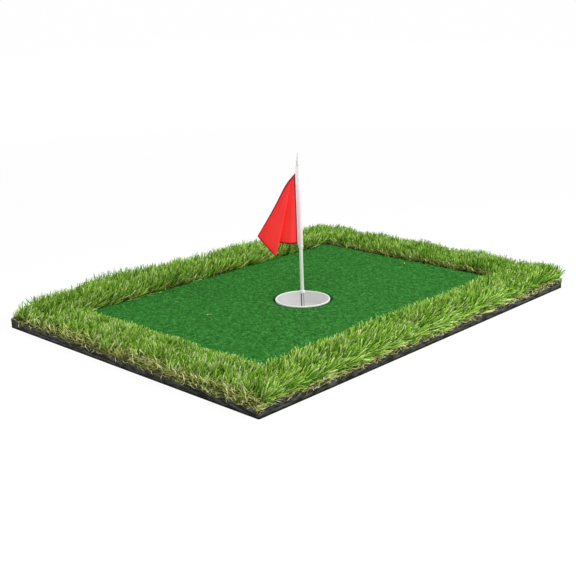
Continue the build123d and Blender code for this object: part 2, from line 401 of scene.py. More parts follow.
def flag_cloth():
    """Woven nylon with a sewn hem: "cut" is the flat cut, "hem" the distances in from its edges."""
    # The emission is painted light: the cloth glows a little so that its folds shade less.
    finish = Finish("flag_cloth", Specular_IOR_Level=0.2, Emission_Strength=0.52)
    flat = finish.own_map("cut")
    weave = finish.wave("X", flat, 320.0) * finish.wave("Y", flat, 320.0)
    edges = finish.own_map("hem")
    inset = finish.component(edges, "X").math("MINIMUM", finish.component(edges, "Y")) / HEM_REACH
    stitches = finish.ramp(inset, [(0.6, OFF), (0.675, ON), (0.75, ON), (0.825, OFF)])
    hem = finish.ramp(inset, [(0.75, ON), (0.9, OFF)])
    rim = finish.ramp(inset, [(0.15, ON), (0.3, OFF)])
    cloud = finish.noise(25, 3)
    tone = finish.ramp(cloud, [(0.3, (0.63, 0.02, 0.018)), (0.7, (0.68, 0.03, 0.026))])
    tone = finish.blend(weave * 0.25, tone, (0.73, 0.045, 0.038))
    tone = finish.blend(hem * 0.2, tone, (0.55, 0.012, 0.02))
    tone = finish.blend(rim * 0.9, tone, (0.08, 0.003, 0.015))
    return finish.set(
        Base_Color=tone,
        Emission_Color=tone,
        Roughness=0.5 + weave * 0.2,
        Normal=finish.bump(weave + hem * 2 - stitches, 0.4, 0.2 * MM),
    ).material


# ---------------------------------------------------------------- mesh helpers

def new_piece(mesh, body, material):
    """An object of the mesh's own name, on the given body and in the given slot."""
    piece = bpy.data.objects.new(mesh.name, mesh)
    bpy.context.scene.collection.objects.link(piece)
    mesh.materials.clear()
    mesh.materials.append(material)
    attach(piece, body)
    return piece


def mesh_of(bm, name):
    mesh = bpy.data.meshes.new(name)
    bm.to_mesh(mesh)
    bm.free()
    return mesh


def fading(distance, width):
    """1 at no distance, falling away smoothly over the given width."""
    return np.exp(-((distance / width) ** 2))


def swells(rng, count, shortest, longest):
    """A smooth random field over the mat, from crossing sine swells; returns a function of x and y."""
    heading = rng.uniform(0, 2 * np.pi, count)
    length = rng.uniform(shortest, longest, count)
    phase = rng.uniform(0, 2 * np.pi, count)

    def field(x, y):
        total = np.zeros_like(x)
        for angle, period, start in zip(heading, length, phase):
            travel = (x * np.cos(angle) + y * np.sin(angle)) / period
            total += np.sin(2 * np.pi * travel + start)
        return total / math.sqrt(count / 2)

    return field


def strand_template(cuts):
    """A closed three-sided spike of unit width and length, cut across at the given heights."""
    bm = bmesh.new()
    bmesh.ops.create_cone(
        bm, cap_ends=True, segments=3, radius1=0.5, radius2=0.0, depth=1.0,
        matrix=Matrix.Translation((0, 0, 0.5)),
    )
    bmesh.ops.remove_doubles(bm, verts=bm.verts[:], dist=1e-5)
    for cut in cuts:
        bmesh.ops.bisect_plane(
            bm, geom=bm.verts[:] + bm.edges[:] + bm.faces[:], plane_co=(0, 0, cut), plane_no=(0, 0, 1)
        )
    bmesh.ops.triangulate(bm, faces=bm.faces[:])
    bmesh.ops.recalc_face_normals(bm, faces=bm.faces[:])
    bm.verts.index_update()
    points = np.array([v.co[:] for v in bm.verts])
    faces = np.array([[v.index for v in f.verts] for f in bm.faces])
    bm.free()
    # around a ring the spike's own taper is taken out, so that a strand can have its own width
    ring = points[:, :2] / np.maximum(1 - points[:, 2:], 1e-6)
    ring[points[:, 2] > 0.999] = 0
    return ring, points[:, 2], faces


def strands_mesh(name, template, spine, across, face, width, thickness, tone, painted_shade_lift=0.0):
    """Copies of the template, one along each spine; spine, across and face are (strand, vertex, 3).

    A strand's painted shade at its foot is lifted by the given share, so that its foot is pale like its tip.
    """
    ring, height, faces = template
    count, corners = spine.shape[0], len(height)
    points = (
        spine
        + across * (ring[:, 0] * width)[..., None]
        + face * (ring[:, 1] * thickness)[..., None]
    )
    mesh = bpy.data.meshes.new(name)
    mesh.vertices.add(count * corners)
    mesh.vertices.foreach_set("co", points.astype(np.float32).ravel())
    loops = (faces[None] + (np.arange(count) * corners)[:, None, None]).ravel()
    mesh.loops.add(len(loops))
    mesh.loops.foreach_set("vertex_index", loops.astype(np.int32))
    mesh.polygons.add(len(loops) // 3)
    mesh.polygons.foreach_set("loop_start", np.arange(0, len(loops), 3, dtype=np.int32))
    mesh.update(calc_edges=True)
    strand_map = np.empty((count, faces.size, 2), dtype=np.float32)
    strand_map[..., 0] = tone[:, None]
    strand_map[..., 1] = 1 - (1 - height[faces.ravel()]) * (1 - np.reshape(painted_shade_lift, (-1, 1)))
    mesh.uv_layers.new(name="strand").data.foreach_set("uv", strand_map.ravel())
    mesh.shade_flat()
    mesh.validate()
    return mesh


# ---------------------------------------------------------------- border pile

ROW_GAUGE = 8.2 * MM
ROW_SCATTER = 0.16
STITCH = 5.6 * MM
STITCH_SCATTER = 0.28
EDGE_MARGIN = 1.6 * MM
MITRE_WIDTH = 90 * MM

BLADES_PER_TUFT = 11
BLADE_LENGTH = 34 * MM
BLADE_WIDTH = 2.15 * MM
BLADE_THICKNESS = 0.6 * MM
BLADE_TAPER = 0.5
BLADE_CUTS = (0.45, 0.93)
BLADE_STEPS = 20
BLADE_FOOT_LEAN = 0.4
BLADE_DROOP = 1.1
BEND_LIMIT = 1.45
BLADE_SPLAY = 0.3
TUFT_SPREAD = 4.5 * MM
BLADE_TWIST = 1.2
BLADE_OVERHANG = 14 * MM
BLADE_DROP = (9 * MM, 6 * MM, 6 * MM, 5 * MM)
LENGTH_SCATTER = 0.085
LENGTH_RANGE = (0.6, 1.18)
WIDTH_RANGE = (0.75, 1.2)
BORDER_HALVES = 2

# swells of the pile: how many, and the shortest and longest, in metres
WORN_SWELLS = (8, 0.03, 0.12)
LEAN_SWELLS = (7, 0.05, 0.22)
CROSS_SWELLS = (7, 0.04, 0.18)
HEIGHT_SWELLS = (6, 0.06, 0.2)
TONE_SWELLS = (6, 0.02, 0.07)

# worn strips: how far in they reach, the share of blades they lack, and how evenly
WORN_OUTER = (8 * MM, 12 * MM, 5 * MM, 26 * MM)
WORN_INNER = (3 * MM, 11 * MM, 7 * MM, 3 * MM)
WORN_SHARE = (1.0, 1.0, 0.8, 1.0)
WORN_EVENLY = (0.5, 0.65, 0.65, 0.97)
WORN_PATCHES = 0.4
WORN_LEAST = 0.3
OUTER_FADE, INNER_FADE = 1.4, 1.6
WORN_SHORTER = (0, 0, 0, 0.3)
# how much the painted shade at the blades' feet is lifted where the pile is worn open, and along each side's outer
# edge, and over what width
WORN_SHADE_LIFT = 0.6
EDGE_SHADE_LIFT = (0.5, 0.25, 0.25, 0.25)
EDGE_SHADE_LIFT_WIDTH = 14 * MM

# how far the pile lies over towards +X: by the outer edge, halfway, and by the inner edge
LIE_ALONG = ((1.5, 0.95, 0.6), (0.5, 0.34, 0.3), (0.6, 0.52, 0.45), (0.62, 0.5, 0.22))
FRONT_EASE = 0.8
LIE_OUT = (0.28, 0.2, 0.15, 0.1)
LIE_OUT_WIDTH = 8 * MM
LEAN_PATCHES = 0.13
LEAN_SCATTER = 0.2

# relative height: a crest along the back (its place and width in shares of half the length), and falls at
# the far left corner and beside the green, which is trodden at its near left corner
SIDE_LENGTH = (0.92, 0.92, 1.0, 0.75)
HEIGHT_PATCHES = 0.06
CREST_RISE, CREST_PLACE, CREST_WIDTH = 0.28, -0.48, 0.5
CORNER_FALL, CORNER_WIDTH = 0.3, 50 * MM
INNER_FALL = (0.42, 0.06, 0.06, 0.36)
INNER_FALL_WIDTH = 20 * MM
TRODDEN_FALL = (0.44, 0.0, 0.0, -0.14)
TRODDEN_WIDTH = 60 * MM

MIDDLE_TONE = 0.52
SIDE_TONE = (-0.07, -0.09, -0.06, 0.035)
TUFT_TONE_SCATTER = 0.12
TONE_PATCHES = 0.07
BLADE_TONE_SCATTER = 0.3
TONE_RANGE = (0.01, 0.99)


def insets(x, y):
    """Distances in from the mat's short ends and from its long sides."""
    return half_length - np.abs(x), half_depth - np.abs(y)


def from_outer_edge(x, y):
    return np.minimum(*insets(x, y))


def from_inner_edge(x, y):
    return np.maximum(np.abs(x) - window_x, np.abs(y) - window_y)


def in_border(x, y, margin):
    return (from_outer_edge(x, y) > margin) & (from_inner_edge(x, y) >= margin)


def side_of(x, y):
    """The border's sides meet at mitres from the mat's corners."""
    from_end, from_long = insets(x, y)
    return np.where(from_long < from_end, np.where(y < 0, FRONT, BACK), np.where(x > 0, RIGHT, LEFT))


def by_side(x, y, values):
    """Each side's own value, blended across the corners."""
    front, right, back, left = values
    from_end, from_long = insets(x, y)
    share = np.clip(0.5 + (from_end - from_long) / MITRE_WIDTH, 0, 1)
    share = share * share * (3 - 2 * share)
    return np.where(y < 0, front, back) * share + np.where(x > 0, right, left) * (1 - share)


def wear(x, y):
    """0 to 1, how thinly the blades stand: in patches along the outer edge, all along the inner one."""
    patch = swells(np.random.default_rng(41), *WORN_SWELLS)(x, y)
    side = side_of(x, y)
    outer = np.clip(OUTER_FADE - from_outer_edge(x, y) / np.choose(side, WORN_OUTER), 0, 1)
    inner = np.clip(INNER_FADE - from_inner_edge(x, y) / np.choose(side, WORN_INNER), 0, 1)
    evenly = np.clip(np.choose(side, WORN_EVENLY) + WORN_PATCHES * patch, WORN_LEAST, 1)
    return np.maximum(outer * evenly, inner)


def tuft_places(rng):
    rows_x = np.arange(-half_length, half_length, STITCH)
    rows_y = np.arange(-half_depth, half_depth, ROW_GAUGE)
    x, y = (grid.ravel() for grid in np.meshgrid(rows_x, rows_y))
    x = x + rng.normal(0, STITCH_SCATTER * STITCH, x.size)
    y = y + rng.normal(0, ROW_SCATTER * ROW_GAUGE, y.size)
    keep = in_border(x, y, EDGE_MARGIN)
    return x[keep], y[keep]


def nap(rng, x, y):
    """The way the pile lies: mostly along +X, flatter towards the outer edge, and out over it."""
    swing = swells(rng, *LEAN_SWELLS)
    cross = swells(rng, *CROSS_SWELLS)
    from_end, from_long = insets(x, y)
    own_insets = (from_long, from_end, from_long, from_end)
    along = by_side(
        x, y,
        [np.interp(own / border_width, (0, 0.5, 1), lie) for own, lie in zip(own_insets, LIE_ALONG)],
    )
    along -= FRONT_EASE * np.clip(x / half_length, 0, 1) * np.clip(-y / half_depth, 0, 1) ** 4
    front, right, back, left = LIE_OUT
    out_x = np.where(x > 0, right, -left) * fading(from_end, LIE_OUT_WIDTH)
    out_y = np.where(y > 0, back, -front) * fading(from_long, LIE_OUT_WIDTH)
    lie = np.stack([along + out_x + LEAN_PATCHES * swing(x, y), out_y + LEAN_PATCHES * cross(x, y)], 1)
    return lie + rng.normal(0, LEAN_SCATTER, (x.size, 2))


def pile_height(rng, x, y):
    """Relative height of the tufts: each side's own, raised by the crest and lowered by the falls."""
    side = side_of(x, y)
    crest = fading(x / half_length - CREST_PLACE, CREST_WIDTH) * np.clip(y / half_depth, 0, 1) ** 4
    corner = fading(np.hypot(x + half_length, y - half_depth), CORNER_WIDTH)
    trodden = fading(np.hypot(x + window_x, y + window_y), TRODDEN_WIDTH)
    fall = np.choose(side, INNER_FALL) + np.choose(side, TRODDEN_FALL) * trodden
    fall *= fading(from_inner_edge(x, y), INNER_FALL_WIDTH)
    patch = HEIGHT_PATCHES * swells(rng, *HEIGHT_SWELLS)(x, y)
    return by_side(x, y, SIDE_LENGTH) * (1 - fall) * (1 + patch + CREST_RISE * crest - CORNER_FALL * corner)


def bent_spines(root, lean, length, height):
    """Points, tangents and headings of blades that rise from their roots and bend over."""
    size = np.hypot(lean[:, 0], lean[:, 1])
    heading = np.arctan2(lean[:, 1], lean[:, 0])
    share = np.linspace(0, 1, BLADE_STEPS + 1)
    angle = np.minimum(size[:, None] * (BLADE_FOOT_LEAN + BLADE_DROOP * share), BEND_LIMIT)
    run = np.cumsum(np.sin(angle), axis=1)
    rise = np.cumsum(np.cos(angle), axis=1)
    run = (run - run[:, :1]) / BLADE_STEPS * length[:, None]
    rise = (rise - rise[:, :1]) / BLADE_STEPS * length[:, None]
    at = np.rint(height * BLADE_STEPS).astype(int)
    along = np.stack([np.cos(heading), np.sin(heading)], 1)
    points = np.empty((len(root), len(height), 3))
    points[..., 0] = root[:, :1] + run[:, at] * along[:, :1]
    points[..., 1] = root[:, 1:2] + run[:, at] * along[:, 1:2]
    points[..., 2] = root[:, 2:3] + rise[:, at]
    bend = angle[:, at]
    tangent = np.stack([np.sin(bend) * along[:, :1], np.sin(bend) * along[:, 1:2], np.cos(bend)], 2)
    return points, tangent, along


def turned_sides(tangent, along, twist):
    """The two directions across each strand, twisted about its own length."""
    across = np.stack([-along[:, 1], along[:, 0], np.zeros(len(along))], 1)[:, None, :]
    across = np.broadcast_to(across, tangent.shape)
    face = np.cross(tangent, across)
    c, s = np.cos(twist)[:, None, None], np.sin(twist)[:, None, None]
    return across * c + face * s, face * c - across * s


def kept_in(path, reach):
    """Strands that lean out past the mat's edge bend back, to stay within reach of it."""
    for axis, half in ((0, half_length), (1, half_depth)):
        place = path[..., axis]
        past = np.clip(np.abs(place) - half, 0, None)
        place -= np.sign(place) * (past - reach * (1 - np.exp(-past / reach)))
    return path


def over_the_edge(path, drop, reach):
    """A strand that passes the mat's edge turns down over the base and stays close to it."""
    past = np.maximum(np.abs(path[..., 0]) - half_length, np.abs(path[..., 1]) - half_depth).clip(0)
    path[..., 2] -= drop[:, None] * (1 - np.exp(-past / reach))
    return kept_in(path, reach)


def border_grass(material):
    rng = np.random.default_rng(11)
    template = strand_template(BLADE_CUTS)
    height = template[1]
    x, y = tuft_places(rng)
    lean = nap(rng, x, y)
    tuft_tone = rng.normal(0, TUFT_TONE_SCATTER, x.size) + TONE_PATCHES * swells(rng, *TONE_SWELLS)(x, y)
    taller = pile_height(rng, x, y)
    tuft = np.repeat(np.arange(x.size), BLADES_PER_TUFT)
    count = tuft.size
    splay = rng.normal(0, BLADE_SPLAY, (count, 2))
    root = np.c_[np.stack([x, y], 1)[tuft] + splay * TUFT_SPREAD, np.full(count, backing_top)]
    foot = root[:, 0], root[:, 1]
    side = side_of(x, y)[tuft]
    worn = wear(*foot)
    standing = rng.random(count) > np.choose(side, WORN_SHARE) * worn
    keep = standing & in_border(*foot, 0.5 * EDGE_MARGIN)
    length = BLADE_LENGTH * taller[tuft] * rng.normal(1, LENGTH_SCATTER, count).clip(*LENGTH_RANGE)
    length *= 1 - np.choose(side, WORN_SHORTER) * worn
    width = BLADE_WIDTH * rng.uniform(*WIDTH_RANGE, count)
    tone = (MIDDLE_TONE + by_side(x, y, SIDE_TONE) + tuft_tone)[tuft]
    tone = (tone + rng.normal(0, BLADE_TONE_SCATTER, count)).clip(*TONE_RANGE)
    # less painted shade at the blades' feet where the pile is worn open and along the outer edge
    edge_shade_lift = np.choose(side, EDGE_SHADE_LIFT) * fading(from_outer_edge(*foot), EDGE_SHADE_LIFT_WIDTH)
    painted_shade_lift = np.maximum(WORN_SHADE_LIFT * worn, edge_shade_lift)
    twist = rng.uniform(-BLADE_TWIST, BLADE_TWIST, count)
    blade_lean = lean[tuft] + splay
    half = (np.where(side % 2 == 0, x[tuft], y[tuft]) > 0).astype(int)
    taper = 1 - BLADE_TAPER * height**4
    for number, name in enumerate(SIDES):
        for part in range(BORDER_HALVES):
            own = keep & (side == number) & (half == part)
            spine, tangent, along = bent_spines(root[own], blade_lean[own], length[own], height)
            spine = over_the_edge(spine, np.full(own.sum(), BLADE_DROP[number]), BLADE_OVERHANG)
            across, face = turned_sides(tangent, along, twist[own])
            mesh = strands_mesh(
                f"grass_{name}_{part}", template, spine, across, face,
                width[own, None] * taper, BLADE_THICKNESS * taper[None], tone[own], painted_shade_lift[own],
            )
            piece = new_piece(mesh, "mat", material)
            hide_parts(f"rough_pile_{name}")


# ---------------------------------------------------------------- root yarn

CURL_TRIES = 52000
CURL_CUTS = (0.17, 0.34, 0.5, 0.67, 0.84)
CURL_STEPS = 40
CURL_WIDTH = 1.5 * MM
CURL_WIDTH_RANGE = (0.6, 1.2)
CURL_THICKNESS = 0.8 * MM
CURL_TAPER = 0.5
CURL_LENGTH = (24 * MM, 26 * MM, 26 * MM, 26 * MM)
CURL_LENGTH_RANGE = (0.4, 1.15)
CURL_REACH = (6.5 * MM, 11 * MM, 11 * MM, 19 * MM)
CURL_REACH_RANGE = (0.3, 1.1)
CURL_START_SHARE = 0.6
CURL_SPREAD = (0.2, 0.8, 0.7, 0.6)
CURL_TURN = 0.8
CURL_WAVER, WAVER_RATE = 0.15, 8
CURL_PITCH = (-0.3, 1.0)
CURL_ROLL, ROLL_RATES = 0.3, (0.6, 1.6)
ANY_PHASE = (0, 6)
NEARLY_UP = (0.13, 0.21, 0.97)
INTERIOR_SHARE = 0.10
INNER_START = (5 * MM, 9 * MM, 9 * MM, 5 * MM)
INNER_REACH = (5 * MM, 16 * MM, 14 * MM, 5 * MM)
OVERHANG = 1.8 * MM
OVERHANG_DROP = (5 * MM, 5.5 * MM, 5.5 * MM, 3.5 * MM)

# tones of yarn deep in the pile and where it is worn open, and how they are raised by the green and along
# the front edge: the least tone, and the share of the old one that is added
OPEN_WEAR = 0.2
DEEP_TONES = (0.0, 0.34)
OPEN_TONES = (0.1, 0.94)
INNER_RAISED = (0.1, 0.75)
FRONT_RAISED = (0.35, 0.65)

# yarn along the outer edge: how many strands, and ranges of their inset from it and of their low point's
# height over the backing, in mm
EDGE_CURLS = (1000, 200, 260, 460)
EDGE_INSET = ((-1.8, 3.0), (0, 4), (-0.4, 3), (-0.8, 4))
EDGE_START = ((-4.5, 4.5), (-1.5, 0.5), (-1.5, 0.5), (-3.2, 1.2))
EDGE_REACH = 4.5 * MM
EDGE_SHARE = 0.7
EDGE_PATCHES = 0.25
EDGE_LEAST = 0.4


def edge_places(rng):
    """Places along the mat's edge, side by side, and how high the yarn's ends lie there."""
    side = np.repeat(np.arange(4), EDGE_CURLS)
    low, high = np.array(EDGE_INSET)[side].T
    inset = rng.uniform(low, high) * MM
    run = rng.uniform(-1, 1, side.size)
    on_long = side % 2 == 0
    sign = np.choose(side, (-1, 1, 1, -1))
    x = np.where(on_long, run, sign) * (half_length - inset)
    y = np.where(on_long, sign, run) * (half_depth - inset)
    low, high = np.array(EDGE_START)[side].T
    start = rng.uniform(low, high) * MM
    draw = rng.random(side.size)
    patch = EDGE_PATCHES * swells(rng, *WORN_SWELLS)(x, y)
    keep = draw < np.clip(EDGE_SHARE + patch, EDGE_LEAST, 1)
    return x[keep], y[keep], start[keep]


def crossing_spines(rng, root, side, length, height, top):
    """Slightly curved strands that cross low down at every slope, each about its own root."""
    t = np.linspace(0, 1, CURL_STEPS + 1)[None]

    def each(low, high):
        return rng.uniform(low, high, (len(root), 1))

    along_edge = np.where(side % 2 == 0, 0, np.pi / 2)[:, None] + np.pi * (each(0, 1) > 0.5)
    heading = along_edge + each(-1, 1) * np.choose(side, CURL_SPREAD)[:, None]
    turn = each(-CURL_TURN, CURL_TURN)
    bearing = heading + turn * t + CURL_WAVER * np.sin(WAVER_RATE * t + each(*ANY_PHASE))
    pitch = each(*CURL_PITCH) + CURL_ROLL * np.cos(np.pi * t * each(*ROLL_RATES) + each(*ANY_PHASE))
    moves = np.stack([np.cos(bearing) * np.cos(pitch), np.sin(bearing) * np.cos(pitch), np.sin(pitch)], 2)
    moves *= (length / CURL_STEPS)[:, None, None]
    path = np.cumsum(moves, axis=1) - moves[:, :1]
    path[..., :2] -= path[:, CURL_STEPS // 2, None, :2]
    low = path[..., 2].min(axis=1, keepdims=True)
    high = path[..., 2].max(axis=1, keepdims=True)
    tall = np.minimum(top[:, None], high - low) / np.maximum(high - low, 1e-6)
    path[..., 2] = (path[..., 2] - low) * tall
    path += root[:, None, :]
    return sampled(over_the_edge(path, np.choose(side, OVERHANG_DROP), OVERHANG), height)


def sampled(path, height):
    """Points, and the two directions across each strand, at the template's heights along its path."""
    at = np.rint(height * (path.shape[1] - 1)).astype(int)
    tangent = np.gradient(path, axis=1)
    tangent /= np.linalg.norm(tangent, axis=2, keepdims=True) + 1e-12
    points, tangent = path[:, at], tangent[:, at]
    upright = np.broadcast_to(np.array(NEARLY_UP), tangent.shape)
    across = np.cross(tangent, upright)
    across /= np.linalg.norm(across, axis=2, keepdims=True) + 1e-12
    return points, across, np.cross(tangent, across)


def root_layer(material):
    rng = np.random.default_rng(23)
    template = strand_template(CURL_CUTS)
    height = template[1]
    x = rng.uniform(-half_length, half_length, CURL_TRIES)
    y = rng.uniform(-half_depth, half_depth, CURL_TRIES)
    keep = in_border(x, y, EDGE_MARGIN) & (rng.random(x.size) < INTERIOR_SHARE + wear(x, y))
    x, y = x[keep], y[keep]
    by_green = from_inner_edge(x, y) < from_outer_edge(x, y)
    edge_x, edge_y, edge_start = edge_places(rng)
    x, y = np.r_[x, edge_x], np.r_[y, edge_y]
    count = x.size
    on_edge = np.arange(count) >= by_green.size
    worn = wear(x, y)
    inner = np.r_[by_green, np.zeros(edge_x.size, dtype=bool)] & (worn > OPEN_WEAR)
    side = side_of(x, y)
    reach = np.where(inner, np.choose(side, INNER_REACH), np.choose(side, CURL_REACH))
    reach = np.where(on_edge, EDGE_REACH, reach)
    lift = reach * rng.uniform(0, CURL_START_SHARE, count) ** 1.5
    start = np.where(inner, np.choose(side, INNER_START), 0) + lift
    start[on_edge] = edge_start
    root = np.stack([x, y, backing_top + start], 1)
    length = np.choose(side, CURL_LENGTH) * rng.uniform(*CURL_LENGTH_RANGE, count)
    top = (reach - lift) * rng.uniform(*CURL_REACH_RANGE, count)
    deep_tone, open_tone = rng.uniform(*DEEP_TONES, count), rng.uniform(*OPEN_TONES, count)
    tone = np.where(worn < OPEN_WEAR, deep_tone, open_tone)
    for where, (least, share) in ((inner, INNER_RAISED), (on_edge & (side == FRONT), FRONT_RAISED)):
        tone = np.where(where, least + share * tone, tone)
    points, across, face = crossing_spines(rng, root, side, length, height, top)
    taper = 1 - CURL_TAPER * height**3
    for number, name in enumerate(SIDES):
        own = side == number
        wide = CURL_WIDTH * rng.uniform(*CURL_WIDTH_RANGE, own.sum())
        mesh = strands_mesh(
            f"root_yarn_{name}", template, points[own], across[own], face[own],
            wide[:, None] * taper, CURL_THICKNESS * taper[None], tone[own],
        )
        piece = new_piece(mesh, "mat", material)
        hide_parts(f"thatch_{name}")


# ---------------------------------------------------------------- loose fibres

FIBRE_POINTS = 31
FIBRE_TONES = (0.88, 1.0)
FIBRE_WIDTH_RANGE = (0.7, 1.2)
FIBRE_FLATNESS = 0.7
FIBRE_TAPER = 0.4
STRAY_WIDTH = 1.45 * MM
SHED_WIDTH = 1.9 * MM
SHED_HEIGHT, SHED_CREST = 1.3 * MM, 0.8 * MM
END_INSET, END_OUT, END_TURN = 1.6 * MM, 2.6 * MM, 3
END_WAVER, END_WAVER_RATE, END_WAVER_SHIFT = 0.1, 6, 9
END_LOSS, END_FALL = 0.8, 1.3
END_CLEARANCE = 1.2 * MM

# yarn ends that hang over the base: place along the side (share of its half), length in mm, and how
# far they trail along the side (share of their length)
LEFT_ENDS = (
    (0.91, 13, 0.1), (0.3, 26, -0.85), (0.2, 15, 0.55), (0.02, 11, 0.15), (-0.26, 10, -0.3),
    (-0.34, 12, 0.1), (-0.51, 17, 0.6), (-0.8, 10, 0.2),
)
FRONT_ENDS = (
    (-0.74, 12, 0.4), (-0.7, 10, -0.3), (-0.46, 10, 0.1), (-0.04, 18, 0.75), (0.03, 14, 0.55),
    (0.06, 10, 0.2), (0.31, 9, 0.35), (0.71, 9, -0.4),
)
# fibres shed on the putting surface: place (shares of its halves), bearing in degrees, length in mm, and
# how far they turn, in radians
SHED = (
    (-0.7, 0.982, -52, 19, 0.3), (-0.744, 0.978, -30, 23, -0.4), (-0.605, 0.975, -50, 19, 0.3),
    (-0.57, 0.64, -75, 11, 2.2), (-0.63, 0.14, -20, 12, -2.4), (0.9, -0.12, 30, 9, 1.6),
)


def hanging_paths(ends, edge, way, out):
    """Yarn ends that come out of the pile's outer edge and hang down over the base."""
    along, length, drift = (column[:, None] for column in np.array(ends).T)
    length = length * MM
    t = np.linspace(0, 1, FIBRE_POINTS)[None]
    step_out = END_OUT * np.sin(0.5 * np.pi * np.clip(END_TURN * t, 0, 1)) - END_INSET
    waver = END_WAVER * np.sin(END_WAVER_RATE * t + END_WAVER_SHIFT * along)
    sideways = (drift * t + waver) * length
    fall = -length * (1 - np.abs(drift) * END_LOSS) * t**END_FALL
    path = np.empty((len(ends), FIBRE_POINTS, 3))
    for axis in (0, 1):
        run = way[axis] * along + np.sign(way[axis]) * sideways
        path[..., axis] = edge[axis] + run + out[axis] * step_out
    path[..., 2] = np.maximum(backing_top + fall, END_CLEARANCE)
    return path


def shed_paths():
    """Short curved fibres that have come off the pile and lie on the putting surface."""
    x, y, bearing, length, turn = (column[:, None] for column in np.array(SHED).T)
    t = np.linspace(-0.5, 0.5, FIBRE_POINTS)[None]
    heading = np.radians(bearing) + turn * t
    step = length * MM / FIBRE_POINTS
    path = np.empty((len(SHED), FIBRE_POINTS, 3))
    path[..., 0] = x * window_x + np.cumsum(np.cos(heading) * step, axis=1)
    path[..., 1] = y * window_y + np.cumsum(np.sin(heading) * step, axis=1)
    path[..., 2] = green_hi.z + SHED_HEIGHT + SHED_CREST * np.cos(np.pi * t)
    return path


def loose_fibres(material):
    rng = np.random.default_rng(31)
    template = strand_template(CURL_CUTS)
    height = template[1]
    taper = (1 - FIBRE_TAPER * height**3)[None]
    left = hanging_paths(LEFT_ENDS, (-half_length, 0), (0, half_depth), (-1, 0))
    front = hanging_paths(FRONT_ENDS, (0, -half_depth), (half_length, 0), (0, -1))
    strays = ("stray_yarn", np.concatenate([left, front]), STRAY_WIDTH)
    for name, paths, width in (strays, ("shed_yarn", shed_paths(), SHED_WIDTH)):
        points, across, face = sampled(paths, height)
        wide = width * rng.uniform(*FIBRE_WIDTH_RANGE, (len(points), 1)) * taper
        tone = rng.uniform(*FIBRE_TONES, len(points))
        mesh = strands_mesh(name, template, points, across, face, wide, FIBRE_FLATNESS * wide, tone)
        new_piece(mesh, "mat", material)


# ---------------------------------------------------------------- putting surface

GREEN_STEP = 2.0 * MM
HOLE_SNAP = 3 * GREEN_STEP
PRESSED_DEPTH = 1.1 * MM
PRESSED_FADE = 1.3
# swells of the surface: how many, the shortest and the longest, and how high they stand
COARSE_SWELLS, COARSE_LIFT = (14, 9 * MM, 30 * MM), 0.15 * MM
FINE_SWELLS, FINE_LIFT = (22, 4.6 * MM, 9 * MM), 0.36 * MM
CURL_LIFT = 0.28 * MM
SURFACE_SINK = 0.4 * MM


def green_slab(hole):
    """A slab with a fine grid on top and the cup's hole cut through, and the vertices of its top."""
    bm = bmesh.new()
    size = green_hi - green_lo
    bmesh.ops.create_grid(
        bm, x_segments=round(size.x / GREEN_STEP), y_segments=round(size.y / GREEN_STEP), size=0.5,
        matrix=Matrix.Diagonal((size.x, size.y, 1, 1)),
    )
    middle = cup_middle.xy
    gone = [face for face in bm.faces if (face.calc_center_median().xy - middle).length < hole]
    bmesh.ops.delete(bm, geom=gone, context="FACES")
    for edge in [edge for edge in bm.edges if edge.is_boundary]:
        for vert in edge.verts:
            away = vert.co.xy - middle
            if away.length < hole + HOLE_SNAP:
                vert.co.xy = middle + away.normalized() * hole
    top = bm.verts[:]
    rim = [edge for edge in bm.edges if edge.is_boundary]
    walls = bmesh.ops.extrude_edge_only(bm, edges=rim)["geom"]
    for vert in [part for part in walls if isinstance(part, bmesh.types.BMVert)]:
        vert.co.z = green_lo.z
    foot = [part for part in walls if isinstance(part, bmesh.types.BMEdge) and part.is_boundary]
    bmesh.ops.triangle_fill(bm, use_beauty=True, edges=foot)
    return bm, top


def putting_surface(material):
    """The short pile as one closed slab, with its top broken up into curls and pressed in by the cup."""
    rng = np.random.default_rng(5)
    hole = cup_radius + CUP_CLEARANCE
    bm, top = green_slab(hole)
    coarse, fine = swells(rng, *COARSE_SWELLS), swells(rng, *FINE_SWELLS)
    x, y = np.array([vert.co.xy[:] for vert in top]).T
    curl = CURL_LIFT * rng.normal(0, 1, len(top))
    lift = COARSE_LIFT * coarse(x, y) + FINE_LIFT * fine(x, y) + curl - SURFACE_SINK
    from_hole = np.hypot(x - cup_middle.x, y - cup_middle.y) - hole
    pressed = np.clip(PRESSED_FADE - from_hole / PRESSED_RING, 0, 1)
    lift = lift * (1 - pressed) - PRESSED_DEPTH * pressed
    for vert, rise in zip(top, lift):
        vert.co.z = green_hi.z + float(rise)
    bmesh.ops.recalc_face_normals(bm, faces=bm.faces[:])
    mesh = mesh_of(bm, "putting_pile")
    mesh.shade_smooth()
    piece = new_piece(mesh, "mat", material)
    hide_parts("green_pile")


# ---------------------------------------------------------------- flag

FLAG_HOIST = 139.5 * MM
FLAG_TOP_EDGE = 147.5 * MM
FLAG_FOOT_REACH = 168 * MM
FLAG_FOOT_TURN = math.radians(18)
FLAG_FOOT_BOW = 4 * MM
FLAG_MEAN_HEIGHT = 0.7 * FLAG_HOIST
FLAG_OFFSET = 5.7 * MM
FLAG_THICKNESS = 0.35 * MM
FLAG_STEPS = 48
# the drape's folds: out from the pole and forward of it, in degrees from straight down, top edge to hoist
FLAG_PLEATS = (
    (32, -4), (22, 1), (15.2, 2.5), (14.3, 0), (19, -8), (24, -11), (18, -5), (11, 1), (6, 3), (0, 0),
)
RAY_COUNT = 1441
PLEAT_ROUNDING = 0.07
CORNER_STIFFNESS = 4.6 * MM
CORNER_SIZE = 30 * MM


